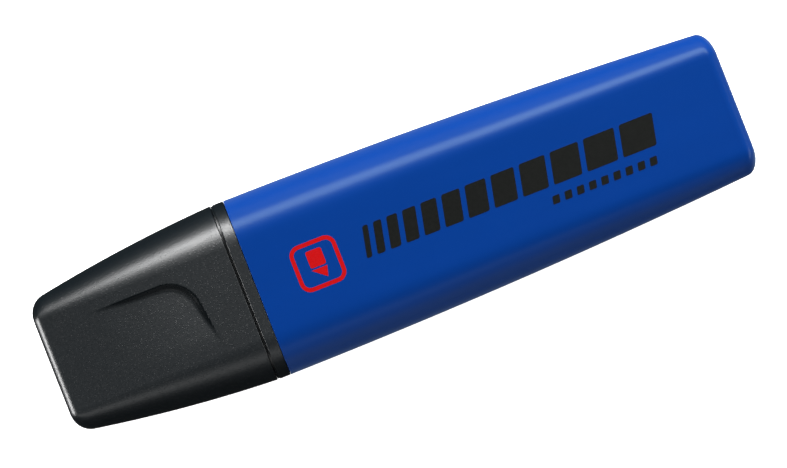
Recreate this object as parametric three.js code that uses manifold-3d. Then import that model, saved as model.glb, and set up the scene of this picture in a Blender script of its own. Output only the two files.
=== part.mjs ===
// Flat pull-cap highlighter: a closed-tail barrel, a nib holder whose collar shows at the joint,
// a chisel nib fed by a wrapped fibre reservoir, and a cap with a sealing sleeve inside.
//
// Millimetres. The marker lies on one broad face: X runs along it from the cap end (-X) to the
// tail (+X), Y across the broad face, Z up. The origin is under the middle of its length.

import * as THREE from 'three';
import { mergeVertices } from 'three/addons/utils/BufferGeometryUtils.js';
import Module from 'manifold-3d';

const wasm = await Module();
wasm.setup();

// ---- Driving dimensions ----------------------------------------------------------------------

// Outer form
const LENGTH = 105;
const WIDTH = 26.7; // at the joint between cap and barrel
const THICKNESS = 17; // at the joint
const FACE_WIDTH = 14.2; // flat strip of each broad face
const SIDE_HEIGHT = 4.7; // flat strip of each narrow side
const TAIL_WIDTH = 21.3;
const TAIL_THICKNESS = 11.4;
const BELLY_LENGTH = 34; // broad faces stay parallel this far behind the collar
const BARREL_FACE_ARCH = 1.5; // 1 tapers straight from the belly's end, 2 on a parabola
const CAP_LENGTH = 29.4;
const CAP_END_WIDTH = 19.7;
const CAP_END_THICKNESS = 12.4;
const CAP_SHOULDER = 4; // the cap's broad faces stay parallel this far from its mouth
const CAP_SIDE_SLOPE = 0.42; // share of the cap's side taper that is straight, the rest is arched
const CAP_FACE_ARCH = 2;
const COLLAR_LENGTH = 1.6;

// Rounding of the two ends: the corners of the broad faces along and across the marker, and the
// radius of the end face's edges
const TAIL_ROUNDING = { along: 2.1, across: 3.2, edge: 1.5 };
const CAP_END_ROUNDING = { along: 2.4, across: 2.4, edge: 1.15 };

// Walls
const BARREL_WALL = 1.5;
const CAP_WALL = 1.5;
const PLUG_WALL = 1.3;
const SLEEVE_WALL = 0.9;
const FILM_WALL = 0.35;

// Nib and its holder
const NIB_WIDTH = 5.2;
const NIB_THICKNESS = 3.6;
const NIB_TIP_THICKNESS = 2;
const NIB_REACH = 5.5; // bare length in front of the snout
const NIB_ROOM = 5; // free space ahead of the nib inside the sealing sleeve
const NIB_SLANT = 3; // how far the chisel's short side lies behind its long side
const NIB_TAIL = 6; // length pushed into the reservoir
const NECK_LENGTH = 4.3; // the neck that the cap's mouth fits over
const SHOULDER_LENGTH = 2;
const SNOUT_WALL = 1.3; // around the nib at the snout's front
const SNOUT_CHAMFER = 0.6;
const PLUG_LENGTH = 9;
const BULKHEAD = 1.8; // solid wall between the neck's front and the reservoir chamber
const SNAP_BEAD = { height: 0.25, length: 1.2, setback: 5.5 };
const CAP_BEAD = { height: 0.12, length: 1, setback: 2.4 };
const STOP_RING = { inset: 1.1, sideInset: 0.12, gap: 0.1 }; // under the faces, sides and cap's mouth
const SLEEVE_TAPER = 0.7; // the sleeve's base is this much narrower than its mouth, on each side
const SLEEVE_STANDOFF = 4; // from the sealing sleeve's mouth to the holder's shoulder
const SLEEVE_ROOM = 0.55; // free space between the sleeve and the wall under the recess
const SLEEVE_RIB = { length: 9, thickness: 0.9 };
const VENT_WIDTH = 1.4;
const VENT_DEPTH = 0.5;

// Reservoir
const RESERVOIR_TAIL_GAP = 8; // from the reservoir's back end to the barrel's tail
const LEAST_RIB = 1;
const RIB_THICKNESS = 0.9;
const RIB_SPREAD = 9; // between the two ribs on each broad wall

// Thumb recess in the cap: a sloping floor, deepest at its rounded corner
const RECESS_DEPTH = 0.65;
const RECESS_EDGE = 5.3; // from the centre line to the long edge of the recess
const RECESS_FADE = 7.6; // from the cap's end to where the long edge fades out
const RECESS_SETBACK = 5.5; // from the cap's mouth to the far tip of the short edge
const RECESS_TIP = 4.7; // from the centre line to that tip, on the other side
const RECESS_CORNER = { along: 4.1, across: 4.2 };
const RECESS_LEAN = 0.8; // how far the short edge leans along the marker
const RECESS_FILLET = 0.6;

// Clearances
const CAP_GAP = 0.4; // open line between cap and collar
const SEAM = 0.1; // collar to barrel
const FIT = 0.3; // between pieces that are seated in one another
const NIB_FIT = 0.15;
const SLEEVE_FIT = 0.2;

// Smoothness
const CORNER_STEPS = 7;
const END_STEPS = 5;

// ---- Stations along the marker ---------------------------------------------------------------

const CAP_END = -LENGTH / 2;
const TAIL_END = LENGTH / 2;
const CAP_MOUTH = CAP_END + CAP_LENGTH;
const COLLAR_FRONT = CAP_MOUTH + CAP_GAP;
const COLLAR_BACK = COLLAR_FRONT + COLLAR_LENGTH;
const BARREL_MOUTH = COLLAR_BACK + SEAM;
const PLUG_BACK = COLLAR_BACK + PLUG_LENGTH;
const STOP_FRONT = CAP_MOUTH + STOP_RING.gap;
const NECK_FRONT = COLLAR_FRONT - NECK_LENGTH;
const SHOULDER_FRONT = NECK_FRONT - SHOULDER_LENGTH;
const SLEEVE_BASE = CAP_END + CAP_WALL + FIT;
const SLEEVE_MOUTH = SHOULDER_FRONT - SLEEVE_STANDOFF;
const NIB_TIP = SLEEVE_BASE + SLEEVE_WALL + NIB_ROOM;
const SNOUT_FRONT = NIB_TIP + NIB_REACH;
const CHAMBER_FRONT = NECK_FRONT + BULKHEAD;
const RESERVOIR_FRONT = CHAMBER_FRONT + FIT;
const RESERVOIR_BACK = TAIL_END - RESERVOIR_TAIL_GAP;
const NIB_BACK = RESERVOIR_FRONT + NIB_TAIL;
const AXIS_HEIGHT = THICKNESS / 2;

// ---- Sections --------------------------------------------------------------------------------
// A section is a rounded rectangle across the marker: half its width and thickness, and the
// radii of its elliptical corners.

function makeSection(x, width, thickness, cornerWidth, cornerThickness) {
  return {
    x,
    width,
    thickness,
    cornerWidth: Math.min(cornerWidth, width * 0.98),
    cornerThickness: Math.min(cornerThickness, thickness * 0.98),
  };
}

// How far an elliptical end rounding has drawn the side in, at a distance from the end.
function roundingInset(distance, along, across) {
  const reach = Math.max(0, along - distance) / along;
  return across * (1 - Math.sqrt(Math.max(0, 1 - reach * reach)));
}

// The marker's outer form at x. Both halves taper away from the joint, the barrel's on arcs that
// start behind the collar, the cap's on a slope that becomes an arc.
function outerSection(x) {
  const onCap = x < CAP_MOUTH + CAP_GAP / 2;
  const length = onCap ? CAP_LENGTH : TAIL_END - COLLAR_FRONT;
  const distance = Math.max(0, onCap ? CAP_MOUTH - x : x - COLLAR_FRONT);
  const parallel = onCap ? CAP_SHOULDER : COLLAR_LENGTH + BELLY_LENGTH;
  const endWidth = onCap ? CAP_END_WIDTH : TAIL_WIDTH;
  const endThickness = onCap ? CAP_END_THICKNESS : TAIL_THICKNESS;
  const rounding = onCap ? CAP_END_ROUNDING : TAIL_ROUNDING;
  const slope = onCap ? CAP_SIDE_SLOPE : 0;
  const arch = onCap ? CAP_FACE_ARCH : BARREL_FACE_ARCH;

  const along = distance / length;
  const widthTaper = slope * along + (1 - slope) * along * along;
  const width = (WIDTH + (endWidth - WIDTH) * widthTaper) / 2;
  const beyond = Math.max(0, distance - parallel) / (length - parallel);
  const thickness = (THICKNESS + (endThickness - THICKNESS) * beyond ** arch) / 2;

  const toEnd = length - distance;
  const across = roundingInset(toEnd, rounding.along, rounding.across);
  const deep = roundingInset(toEnd, rounding.edge, rounding.edge);
  const cornerWidth = Math.max(width - FACE_WIDTH / 2 - across, 1);
  const cornerThickness = Math.max(thickness - SIDE_HEIGHT / 2 - deep, 1);
  return makeSection(x, width - across, thickness - deep, cornerWidth, cornerThickness);
}

function insetSection(section, inset) {
  return makeSection(
    section.x,
    section.width - inset,
    section.thickness - inset,
    Math.max(section.cornerWidth - inset, 0.6),
    Math.max(section.cornerThickness - inset, 0.6),
  );
}

// The hollow that a wall leaves inside the outer form, without the end roundings.
function hollowSection(x, wall) {
  const clear = Math.max(TAIL_ROUNDING.along, CAP_END_ROUNDING.along);
  const sampled = Math.min(Math.max(x, CAP_END + clear), TAIL_END - clear);
  return { ...insetSection(outerSection(sampled), wall), x };
}

const barrelHollow = (x) => hollowSection(x, BARREL_WALL);
const capHollow = (x) => hollowSection(x, CAP_WALL);

function ellipseSection(x, width, thickness) {
  return makeSection(x, width, thickness, width * 0.8, thickness * 0.9);
}

function* between(from, to, steps) {
  for (let step = 0; step <= steps; step += 1) {
    yield from + ((to - from) * step) / steps;
  }
}

// ---- Solids ----------------------------------------------------------------------------------

const RING = 4 * (CORNER_STEPS + 1);
const QUARTER = Math.PI / 2;

function ringPoint(section, column) {
  const corner = Math.floor(column / (CORNER_STEPS + 1));
  const angle = (corner + (column % (CORNER_STEPS + 1)) / CORNER_STEPS) * QUARTER;
  const sideY = corner < 2 ? 1 : -1;
  const sideZ = corner === 0 || corner === 3 ? 1 : -1;
  return [
    sideY * (section.width - section.cornerWidth) + section.cornerWidth * Math.sin(angle),
    sideZ * (section.thickness - section.cornerThickness)
      + section.cornerThickness * Math.cos(angle),
  ];
}

// A closed body through a row of sections: a cylinder whose rings are laid onto them.
function loftGeometry(sections) {
  const rows = sections.length - 1;
  const geometry = new THREE.CylinderGeometry(1, 1, 1, RING, rows);
  const position = geometry.attributes.position;
  const point = new THREE.Vector3();
  for (let index = 0; index < position.count; index += 1) {
    point.fromBufferAttribute(position, index);
    const section = sections[Math.round((0.5 - point.y) * rows)];
    const turn = Math.atan2(point.x, point.z) / (2 * Math.PI);
    const column = Math.round((turn + 1) * RING) % RING;
    const onAxis = Math.hypot(point.x, point.z) < 0.5;
    const [y, z] = onAxis ? [0, 0] : ringPoint(section, column);
    position.setXYZ(index, section.x, y, z + AXIS_HEIGHT);
  }
  return geometry;
}

function toSolid(geometry) {
  const bare = geometry.clone();
  bare.deleteAttribute('normal');
  bare.deleteAttribute('uv');
  const merged = mergeVertices(bare);
  return new wasm.Manifold(new wasm.Mesh({
    numProp: 3,
    vertProperties: new Float32Array(merged.attributes.position.array),
    triVerts: new Uint32Array(merged.index.array),
  }));
}

function toGeometry(solid) {
  const mesh = solid.getMesh();
  const geometry = new THREE.BufferGeometry();
  geometry.setAttribute('position', new THREE.BufferAttribute(mesh.vertProperties, 3));
  geometry.setIndex(new THREE.BufferAttribute(mesh.triVerts, 1));
  geometry.computeVertexNormals();
  return geometry;
}

const loft = (sections) => toSolid(loftGeometry(sections));

function box(low, high) {
  const geometry = new THREE.BoxGeometry(high[0] - low[0], high[1] - low[1], high[2] - low[2]);
  geometry.translate((low[0] + high[0]) / 2, (low[1] + high[1]) / 2, (low[2] + high[2]) / 2);
  return toSolid(geometry);
}

// A turn of half a circle about the marker's own axis.
function turnedOver(geometry) {
  const turned = geometry.clone();
  turned.translate(0, 0, -AXIS_HEIGHT);
  turned.rotateX(Math.PI);
  turned.translate(0, 0, AXIS_HEIGHT);
  return turned;
}

// ---- Sizes that follow from the fits ---------------------------------------------------------

const neckAt = (x) => ({ ...insetSection(capHollow(Math.min(x, CAP_MOUTH)), FIT), x });
const plugAt = (x) => ({ ...insetSection(barrelHollow(Math.max(x, BARREL_MOUTH)), FIT), x });
const narrowOf = (one, other) => makeSection(
  one.x,
  Math.min(one.width, other.width),
  Math.min(one.thickness, other.thickness),
  Math.min(one.cornerWidth, other.cornerWidth),
  Math.min(one.cornerThickness, other.cornerThickness),
);
const chamber = insetSection(narrowOf(plugAt(PLUG_BACK), neckAt(NECK_FRONT)), PLUG_WALL);

const hollowAtReservoirBack = insetSection(barrelHollow(RESERVOIR_BACK), LEAST_RIB);
const filmWidth = Math.min(hollowAtReservoirBack.width, chamber.width) - FIT;
const filmThickness = Math.min(hollowAtReservoirBack.thickness, chamber.thickness) - FIT;
const coreWidth = filmWidth - FILM_WALL - NIB_FIT;
const coreThickness = filmThickness - FILM_WALL - NIB_FIT;

const recessFloorWall = THICKNESS / 2 - RECESS_DEPTH - CAP_WALL;
const sleeveThickness = recessFloorWall - FIT - SLEEVE_ROOM;
const snoutThickness = sleeveThickness - SLEEVE_WALL - SLEEVE_FIT;
const snoutWidth = snoutThickness + (NIB_WIDTH - NIB_THICKNESS) / 2;
const snoutFrontWidth = NIB_WIDTH / 2 + NIB_FIT + SNOUT_WALL;
const snoutFrontThickness = Math.min(NIB_THICKNESS / 2 + NIB_FIT + SNOUT_WALL, snoutThickness);

// ---- Pieces ----------------------------------------------------------------------------------

// Stations at which the outer form is sampled from a mouth to a rounded end.
function outerStations(mouth, parallelEnd, end, along) {
  const inward = end > mouth ? -1 : 1;
  const body = [...between(mouth, parallelEnd, 3), ...between(parallelEnd, end + inward * along, 9)];
  const rounding = [...between(1, END_STEPS, END_STEPS - 1)].map((step) => {
    const angle = (step / END_STEPS) * QUARTER;
    return end + inward * along * (1 - Math.sin(angle));
  });
  return [...new Set([...body, ...rounding])];
}

function ascending(stations) {
  return [...stations].sort((a, b) => a - b);
}

// A ring-shaped swelling (or the groove for it) over a stretch of a section row.
function withBead(sectionAt, from, to, centre, bead) {
  const swollen = (x) => insetSection(sectionAt(x), -bead.height);
  return [
    sectionAt(from),
    sectionAt(centre - bead.length / 2),
    swollen(centre - bead.length / 6),
    swollen(centre + bead.length / 6),
    sectionAt(centre + bead.length / 2),
    sectionAt(to),
  ];
}

// An upright plate along the marker at one distance from its middle.
function uprightPlate(from, to, y, plateThickness) {
  return box([from, y - plateThickness / 2, -1], [to, y + plateThickness / 2, THICKNESS + 1]);
}

// A plate along the marker in its middle plane, right across its width.
function levelPlate(from, to, plateThickness) {
  return box(
    [from, -WIDTH, AXIS_HEIGHT - plateThickness / 2],
    [to, WIDTH, AXIS_HEIGHT + plateThickness / 2],
  );
}

// Ribs stand on the barrel's inner walls, parallel to the axis, and steady the reservoir. The
// upright ones run on across the tail and stop it from sliding back.
function reservoirRibs() {
  const from = PLUG_BACK + 2 * FIT;
  const skin = loft([...between(from, TAIL_END - BARREL_WALL / 2, 14)]
    .map((x) => hollowSection(x, BARREL_WALL / 2)));
  const plates = [
    uprightPlate(from, TAIL_END, -RIB_SPREAD / 2, RIB_THICKNESS),
    uprightPlate(from, TAIL_END, RIB_SPREAD / 2, RIB_THICKNESS),
    levelPlate(from, RESERVOIR_BACK + FIT, RIB_THICKNESS),
  ];
  const room = loft([PLUG_BACK - 1, RESERVOIR_BACK + FIT]
    .map((x) => ellipseSection(x, filmWidth + FIT, filmThickness + FIT)));
  return wasm.Manifold.union(plates).intersect(skin).subtract(room);
}

// The sealing sleeve's outside, grown by a margin: it narrows towards its base as far as the
// snout's front inside it and the cap's hollow around it allow.
function sleeveOutline(margin) {
  const sealed = SLEEVE_FIT + SLEEVE_WALL;
  const mouth = { width: snoutWidth + sealed, thickness: sleeveThickness };
  const front = { width: snoutFrontWidth + sealed, thickness: snoutFrontThickness + sealed };
  const room = insetSection(capHollow(SLEEVE_BASE), FIT);
  const frontShare = (SNOUT_FRONT - SLEEVE_BASE) / (SLEEVE_MOUTH - SLEEVE_BASE);
  const sizeAt = (key) => {
    const base = Math.min(room[key], mouth[key] - SLEEVE_TAPER);
    return [base, Math.max(front[key], base + (mouth[key] - base) * frontShare), mouth[key]];
  };
  const widths = sizeAt('width');
  const thicknesses = sizeAt('thickness');
  return [SLEEVE_BASE, SNOUT_FRONT, SLEEVE_MOUTH]
    .map((x, row) => ellipseSection(x, widths[row] + margin, thicknesses[row] + margin));
}

// Ribs at the cap's closed end, which hold the sealing sleeve on the marker's axis.
function sleeveRibs() {
  const from = CAP_END + CAP_WALL * 0.6;
  const to = SLEEVE_BASE + SLEEVE_RIB.length;
  const skin = loft([...between(from, to, 6)].map((x) => hollowSection(x, CAP_WALL / 2)));
  const outline = sleeveOutline(FIT);
  const room = loft([{ ...outline[0], x: CAP_END + CAP_WALL }, ...outline]);
  const plates = [
    uprightPlate(from, to, 0, SLEEVE_RIB.thickness),
    levelPlate(from, to, SLEEVE_RIB.thickness),
  ];
  return wasm.Manifold.union(plates).intersect(skin).subtract(room);
}

function barrelSolid() {
  const parallelEnd = COLLAR_BACK + BELLY_LENGTH;
  const stations = outerStations(BARREL_MOUTH, parallelEnd, TAIL_END, TAIL_ROUNDING.along);
  const body = loft(ascending(stations).map(outerSection));
  const beadAt = COLLAR_BACK + SNAP_BEAD.setback;
  const hollow = loft([
    ...withBead(barrelHollow, BARREL_MOUTH - 1, PLUG_BACK, beadAt, SNAP_BEAD),
    ...[...between(PLUG_BACK, parallelEnd, 2)].slice(1).map(barrelHollow),
    ...[...between(parallelEnd, TAIL_END - BARREL_WALL, 9)].slice(1).map(barrelHollow),
  ]);
  return body.subtract(hollow).add(reservoirRibs());
}

function nibHolderSolid() {
  const neckBeadAt = COLLAR_FRONT - CAP_BEAD.setback;
  const plugBeadAt = COLLAR_BACK + SNAP_BEAD.setback;
  const collar = outerSection(COLLAR_FRONT);
  const stopRing = insetSection(collar, STOP_RING.inset);
  stopRing.width = collar.width - STOP_RING.sideInset;
  const snoutTip = ellipseSection(SNOUT_FRONT + SNOUT_CHAMFER, snoutFrontWidth, snoutFrontThickness);
  const body = loft([
    { ...insetSection(snoutTip, SNOUT_CHAMFER), x: SNOUT_FRONT },
    snoutTip,
    ellipseSection(SLEEVE_MOUTH, snoutWidth, snoutThickness),
    ellipseSection(SHOULDER_FRONT, snoutWidth, snoutThickness),
    ...withBead(neckAt, NECK_FRONT, STOP_FRONT, neckBeadAt, CAP_BEAD),
    { ...stopRing, x: STOP_FRONT },
    stopRing,
    collar,
    outerSection(COLLAR_BACK),
    ...withBead(plugAt, COLLAR_BACK, PLUG_BACK, plugBeadAt, SNAP_BEAD),
  ]);
  const hollow = loft([{ ...chamber, x: CHAMBER_FRONT }, { ...chamber, x: PLUG_BACK + 1 }]);
  const slotWidth = NIB_WIDTH / 2 + NIB_FIT;
  const slotThickness = NIB_THICKNESS / 2 + NIB_FIT;
  const slot = box(
    [SNOUT_FRONT - 1, -slotWidth, AXIS_HEIGHT - slotThickness],
    [CHAMBER_FRONT + 1, slotWidth, AXIS_HEIGHT + slotThickness],
  );
  const vent = box(
    [SNOUT_FRONT - 1, -VENT_WIDTH / 2, AXIS_HEIGHT - slotThickness - VENT_DEPTH],
    [CHAMBER_FRONT + 1, VENT_WIDTH / 2, AXIS_HEIGHT + slotThickness + VENT_DEPTH],
  );
  return body.subtract(hollow).subtract(slot).subtract(vent);
}

// The nib is a bar of pressed fibre: its outline from above ends in the slanting chisel edge,
// and its outline from the side narrows to the edge's thickness.
function nibSolid() {
  const plan = new THREE.Shape();
  plan.moveTo(NIB_TIP, NIB_WIDTH / 2);
  plan.lineTo(NIB_TIP + NIB_SLANT, -NIB_WIDTH / 2);
  plan.lineTo(NIB_BACK, -NIB_WIDTH / 2);
  plan.lineTo(NIB_BACK, NIB_WIDTH / 2);
  plan.closePath();
  const planGeometry = new THREE.ExtrudeGeometry(plan, { depth: THICKNESS, bevelEnabled: false });

  const narrowing = SNOUT_FRONT - 1;
  const side = new THREE.Shape();
  side.moveTo(NIB_TIP, -NIB_TIP_THICKNESS / 2);
  side.lineTo(narrowing, -NIB_THICKNESS / 2);
  side.lineTo(NIB_BACK + 1, -NIB_THICKNESS / 2);
  side.lineTo(NIB_BACK + 1, NIB_THICKNESS / 2);
  side.lineTo(narrowing, NIB_THICKNESS / 2);
  side.lineTo(NIB_TIP, NIB_TIP_THICKNESS / 2);
  side.closePath();
  const sideGeometry = new THREE.ExtrudeGeometry(side, { depth: WIDTH, bevelEnabled: false });
  sideGeometry.translate(0, 0, -WIDTH / 2);
  sideGeometry.rotateX(QUARTER);
  sideGeometry.translate(0, 0, AXIS_HEIGHT);
  return toSolid(planGeometry).intersect(toSolid(sideGeometry));
}

function reservoirCoreSolid() {
  const body = loft([...between(RESERVOIR_FRONT, RESERVOIR_BACK, 2)]
    .map((x) => ellipseSection(x, coreWidth, coreThickness)));
  const socket = box(
    [RESERVOIR_FRONT - 1, -NIB_WIDTH / 2 - NIB_FIT, AXIS_HEIGHT - NIB_THICKNESS / 2 - NIB_FIT],
    [NIB_BACK + NIB_FIT, NIB_WIDTH / 2 + NIB_FIT, AXIS_HEIGHT + NIB_THICKNESS / 2 + NIB_FIT],
  );
  return body.subtract(socket);
}

function reservoirFilmSolid() {
  const inner = FIT;
  const body = loft([...between(RESERVOIR_FRONT + inner, RESERVOIR_BACK - inner, 2)]
    .map((x) => ellipseSection(x, filmWidth, filmThickness)));
  const bore = loft([...between(RESERVOIR_FRONT - 1, RESERVOIR_BACK + 1, 2)]
    .map((x) => insetSection(ellipseSection(x, filmWidth, filmThickness), FILM_WALL)));
  return body.subtract(bore);
}

// The plan outline of the thumb recess. Its long edge runs along the cap, its corner is rounded
// and its short edge leans towards the mouth. The other two sides lie off the cap's face.
function recessShape(margin) {
  const tipX = CAP_MOUTH - RECESS_SETBACK + margin;
  const edgeY = RECESS_EDGE + margin;
  const turnX = tipX - RECESS_LEAN - RECESS_CORNER.along;
  const turnY = edgeY - RECESS_CORNER.across;
  const lean = RECESS_LEAN / (turnY + RECESS_TIP);
  const shape = new THREE.Shape();
  shape.moveTo(CAP_END - WIDTH, edgeY);
  shape.lineTo(CAP_END - WIDTH, -WIDTH);
  shape.lineTo(tipX + lean * (WIDTH - RECESS_TIP), -WIDTH);
  shape.lineTo(tipX - RECESS_LEAN, turnY);
  shape.bezierCurveTo(
    tipX - RECESS_LEAN - lean * RECESS_CORNER.across * 0.6, turnY + RECESS_CORNER.across * 0.6,
    turnX + RECESS_CORNER.along * 0.55, edgeY,
    turnX, edgeY,
  );
  shape.closePath();
  return shape;
}

// The cutter above the recess floor. The floor is the plane through three points: where the long
// edge fades into the face, where the short edge does, and the deep corner.
function recessCutter(margin, drop) {
  const tipX = CAP_MOUTH - RECESS_SETBACK;
  const topOf = (x) => AXIS_HEIGHT + outerSection(x).thickness;
  const fadeX = CAP_END + RECESS_FADE;
  const cornerX = tipX - RECESS_LEAN - RECESS_CORNER.along * 0.4;
  const cornerY = RECESS_EDGE - RECESS_CORNER.across * 0.3;
  const floor = new THREE.Plane().setFromCoplanarPoints(
    new THREE.Vector3(fadeX, RECESS_EDGE, topOf(fadeX)),
    new THREE.Vector3(tipX, -RECESS_TIP, topOf(tipX)),
    new THREE.Vector3(cornerX, cornerY, topOf(cornerX) - RECESS_DEPTH),
  );
  const geometry = new THREE.ExtrudeGeometry(recessShape(margin), {
    depth: THICKNESS,
    bevelThickness: RECESS_FILLET,
    bevelSize: RECESS_FILLET,
    bevelOffset: -RECESS_FILLET,
    bevelSegments: 3,
    curveSegments: 8,
  });
  const position = geometry.attributes.position;
  const point = new THREE.Vector3();
  for (let index = 0; index < position.count; index += 1) {
    point.fromBufferAttribute(position, index);
    const level = -(floor.normal.x * point.x + floor.normal.y * point.y + floor.constant)
      / floor.normal.z;
    position.setZ(index, point.z + RECESS_FILLET + level - drop);
  }
  return geometry;
}

function capShellSolid() {
  const stations = outerStations(
    CAP_MOUTH, CAP_MOUTH - CAP_SHOULDER, CAP_END, CAP_END_ROUNDING.along,
  );
  const body = loft(ascending(stations).map(outerSection));
  const beadAt = COLLAR_FRONT - CAP_BEAD.setback;
  const hollow = loft([
    ...[...between(CAP_END + CAP_WALL, CAP_MOUTH - CAP_SHOULDER, 8)].slice(0, -1).map(capHollow),
    ...withBead(capHollow, CAP_MOUTH - CAP_SHOULDER, CAP_MOUTH, beadAt, CAP_BEAD),
    { ...capHollow(CAP_MOUTH), x: CAP_MOUTH + 1 },
  ]);
  const cut = recessCutter(0, 0);
  const backing = recessCutter(CAP_WALL, CAP_WALL);
  const room = hollow.subtract(toSolid(backing)).subtract(toSolid(turnedOver(backing)));
  const cutBody = body.subtract(toSolid(cut)).subtract(toSolid(turnedOver(cut)));
  return cutBody.subtract(room).add(sleeveRibs().intersect(cutBody));
}

function capInnerSleeveSolid() {
  const outline = sleeveOutline(0);
  const inside = outline.map((section) => insetSection(section, SLEEVE_WALL));
  inside[0].x = SLEEVE_BASE + SLEEVE_WALL;
  const past = { ...inside[2], x: SLEEVE_MOUTH + 1 };
  return loft(outline).subtract(loft([...inside, past]));
}

// ---- Assembly --------------------------------------------------------------------------------

function plastic(color, roughness) {
  return new THREE.MeshStandardMaterial({ color, roughness, metalness: 0 });
}

const pieces = [
  ['barrel', barrelSolid(), plastic(0x00418f, 0.32)],
  ['nib_holder', nibHolderSolid(), plastic(0x24282b, 0.5)],
  ['nib', nibSolid(), plastic(0x2d62c8, 0.95)],
  ['reservoir_core', reservoirCoreSolid(), plastic(0x3f74cf, 0.95)],
  ['reservoir_film', reservoirFilmSolid(), plastic(0xd9dde2, 0.25)],
  ['cap_shell', capShellSolid(), plastic(0x24282b, 0.5)],
  ['cap_inner_sleeve', capInnerSleeveSolid(), plastic(0x35393d, 0.45)],
];

const highlighter = new THREE.Group();
for (const [name, solid, material] of pieces) {
  const mesh = new THREE.Mesh(toGeometry(solid), material);
  mesh.name = name;
  highlighter.add(mesh);
}

export default highlighter;
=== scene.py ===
import math
from collections import namedtuple

import bmesh
import bpy
from bpy.props import FloatProperty, FloatVectorProperty, IntProperty, PointerProperty
from mathutils import Matrix, Vector


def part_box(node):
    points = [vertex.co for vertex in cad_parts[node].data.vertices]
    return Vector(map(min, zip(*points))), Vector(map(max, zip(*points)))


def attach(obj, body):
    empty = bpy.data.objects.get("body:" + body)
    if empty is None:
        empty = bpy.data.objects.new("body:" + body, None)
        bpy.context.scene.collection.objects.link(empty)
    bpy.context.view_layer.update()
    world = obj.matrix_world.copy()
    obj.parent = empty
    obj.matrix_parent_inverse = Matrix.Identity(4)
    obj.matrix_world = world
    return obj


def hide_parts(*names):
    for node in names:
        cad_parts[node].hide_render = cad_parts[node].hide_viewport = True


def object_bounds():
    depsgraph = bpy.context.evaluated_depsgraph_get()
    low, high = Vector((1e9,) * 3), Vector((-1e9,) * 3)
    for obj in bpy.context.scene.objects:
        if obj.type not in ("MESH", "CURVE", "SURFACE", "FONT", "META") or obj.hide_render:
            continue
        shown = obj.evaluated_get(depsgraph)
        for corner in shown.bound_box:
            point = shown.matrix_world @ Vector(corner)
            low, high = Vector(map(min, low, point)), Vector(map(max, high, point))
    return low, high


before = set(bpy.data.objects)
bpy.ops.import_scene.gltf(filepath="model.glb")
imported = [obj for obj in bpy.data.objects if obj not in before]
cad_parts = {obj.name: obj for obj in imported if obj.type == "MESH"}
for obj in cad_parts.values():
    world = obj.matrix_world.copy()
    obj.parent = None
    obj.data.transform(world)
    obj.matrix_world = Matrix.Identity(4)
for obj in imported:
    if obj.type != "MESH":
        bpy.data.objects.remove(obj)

bl_info = {
    "name": "Flat Highlighter",
    "version": (1, 0, 0),
    "blender": (4, 5, 0),
    "location": "View3D > Sidebar > Highlighter",
    "description": "Builds the looks of a flat pull-cap highlighter around its packed CAD frame",
    "category": "Object",
}

# ---- Places taken from the frame -------------------------------------------------------------

MM = 0.001
CAD_LOW, CAD_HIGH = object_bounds()
CAP_LOW, CAP_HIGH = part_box("cap_shell")
BARREL_LOW, BARREL_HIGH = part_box("barrel")
HOLDER_LOW, HOLDER_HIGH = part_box("nib_holder")
NIB_LOW, NIB_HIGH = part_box("nib")
SLEEVE_LOW, SLEEVE_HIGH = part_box("cap_inner_sleeve")

CAP_END = CAP_LOW.x
CAP_MOUTH = CAP_HIGH.x
BARREL_MOUTH = BARREL_LOW.x
TAIL_END = BARREL_HIGH.x
AXIS_HEIGHT = (CAD_LOW.z + CAD_HIGH.z) / 2
WIDTH = CAD_HIGH.y - CAD_LOW.y
THICKNESS = CAD_HIGH.z - CAD_LOW.z
CAP_LENGTH = CAP_MOUTH - CAP_END


# ---- Sizes and colours that a user would change ----------------------------------------------


def length(name, description, millimetres):
    """A length property whose default is given in millimetres."""
    return FloatProperty(
        name=name,
        description=description,
        default=millimetres * MM,
        min=0.0,
        unit="LENGTH",
        subtype="DISTANCE",
        precision=5,
    )


def number(name, description, default):
    """A plain number property."""
    return FloatProperty(name=name, description=description, default=default, min=0.0)


def share(name, description, default):
    """A property between nothing and all."""
    return FloatProperty(
        name=name, description=description, default=default, min=0.0, max=1.0, subtype="FACTOR"
    )


def colour(name, description, red, green, blue):
    """A linear colour property."""
    return FloatVectorProperty(
        name=name,
        description=description,
        default=(red, green, blue),
        min=0.0,
        max=1.0,
        size=3,
        subtype="COLOR",
    )


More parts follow.
